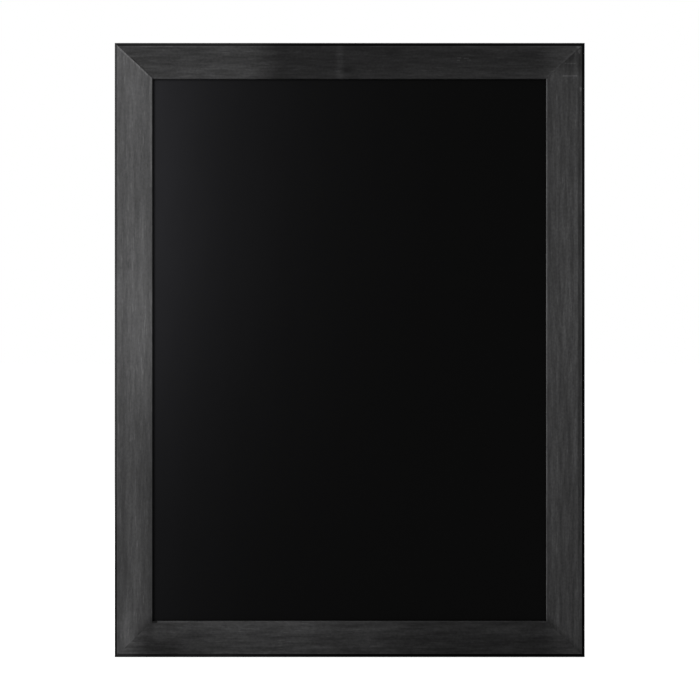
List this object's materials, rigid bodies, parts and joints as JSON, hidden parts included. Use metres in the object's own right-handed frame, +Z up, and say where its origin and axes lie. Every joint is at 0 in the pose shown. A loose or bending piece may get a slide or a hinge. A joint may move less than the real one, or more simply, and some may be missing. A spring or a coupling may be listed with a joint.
{
  "type": "framed chalkboard",
  "caption": "Wall chalkboard with a near-black writing panel, a wide mitred dark wood frame, and strap hangers with D-rings on its back for upright or sideways hanging.",
  "frame": {"origin": "middle of the lower edge, halfway through the overall depth", "axes": "+X to the right as one reads the board, +Y from the face towards the wall, +Z up when the board hangs upright"},
  "size_m": [0.6, 0.023, 0.784],
  "materials": {
    "stained_wood": "black stain under a thin satin lacquer, grain showing",
    "chalk_lacquer": "near-black satin chalk lacquer on smooth fibreboard",
    "hardboard": "bare brown hardboard, smooth face outwards",
    "blue_steel": "thin blued strip steel",
    "plated_steel": "bright zinc plating",
    "bumper_rubber": "matte dark rubber"
  },
  "bodies": {
    "frame": {"left_stile": "stained_wood", "right_stile": "stained_wood", "top_rail": "stained_wood", "bottom_rail": "stained_wood", "writing_panel": "chalk_lacquer", "backing_board": "hardboard", "corner_nail_lower_left_1": "blue_steel", "corner_nail_lower_left_2": "blue_steel", "corner_nail_lower_right_1": "blue_steel", "corner_nail_lower_right_2": "blue_steel", "corner_nail_upper_right_1": "blue_steel", "corner_nail_upper_right_2": "blue_steel", "corner_nail_upper_left_1": "blue_steel", "corner_nail_upper_left_2": "blue_steel", "flexible_point_left_1": "blue_steel", "flexible_point_left_2": "blue_steel", "flexible_point_left_3": "blue_steel", "flexible_point_left_4": "blue_steel", "flexible_point_right_1": "blue_steel", "flexible_point_right_2": "blue_steel", "flexible_point_right_3": "blue_steel", "flexible_point_right_4": "blue_steel", "flexible_point_top_1": "blue_steel", "flexible_point_top_2": "blue_steel", "flexible_point_top_3": "blue_steel", "flexible_point_bottom_1": "blue_steel", "flexible_point_bottom_2": "blue_steel", "flexible_point_bottom_3": "blue_steel", "hanger_strap_left": "plated_steel", "hanger_strap_right": "plated_steel", "hanger_strap_top": "plated_steel", "hanger_strap_bottom": "plated_steel", "hanger_screw_left_1": "plated_steel", "hanger_screw_left_2": "plated_steel", "hanger_screw_right_1": "plated_steel", "hanger_screw_right_2": "plated_steel", "hanger_screw_top_1": "plated_steel", "hanger_screw_top_2": "plated_steel", "hanger_screw_bottom_1": "plated_steel", "hanger_screw_bottom_2": "plated_steel", "wall_bumper_lower_left": "bumper_rubber", "wall_bumper_upper_left": "bumper_rubber", "wall_bumper_lower_right": "bumper_rubber", "wall_bumper_upper_right": "bumper_rubber"},
    "ring_left": {"hanger_ring_left": "plated_steel"},
    "ring_right": {"hanger_ring_right": "plated_steel"},
    "ring_top": {"hanger_ring_top": "plated_steel"},
    "ring_bottom": {"hanger_ring_bottom": "plated_steel"}
  },
  "joints": [
    {"name": "ring_left_swing", "type": "hinge", "parent": "frame", "child": "ring_left", "pos_m": [-0.279, 0.0088, 0.654], "axis": [-1, 0, 0], "range_deg": [-4, 175]},
    {"name": "ring_right_swing", "type": "hinge", "parent": "frame", "child": "ring_right", "pos_m": [0.279, 0.0088, 0.654], "axis": [-1, 0, 0], "range_deg": [-4, 175]},
    {"name": "ring_top_swing", "type": "hinge", "parent": "frame", "child": "ring_top", "pos_m": [-0.17, 0.0088, 0.7645], "axis": [0, 0, -1], "range_deg": [-4, 175]},
    {"name": "ring_bottom_swing", "type": "hinge", "parent": "frame", "child": "ring_bottom", "pos_m": [-0.17, 0.0088, 0.0195], "axis": [0, 0, -1], "range_deg": [-4, 175]}
  ]
}
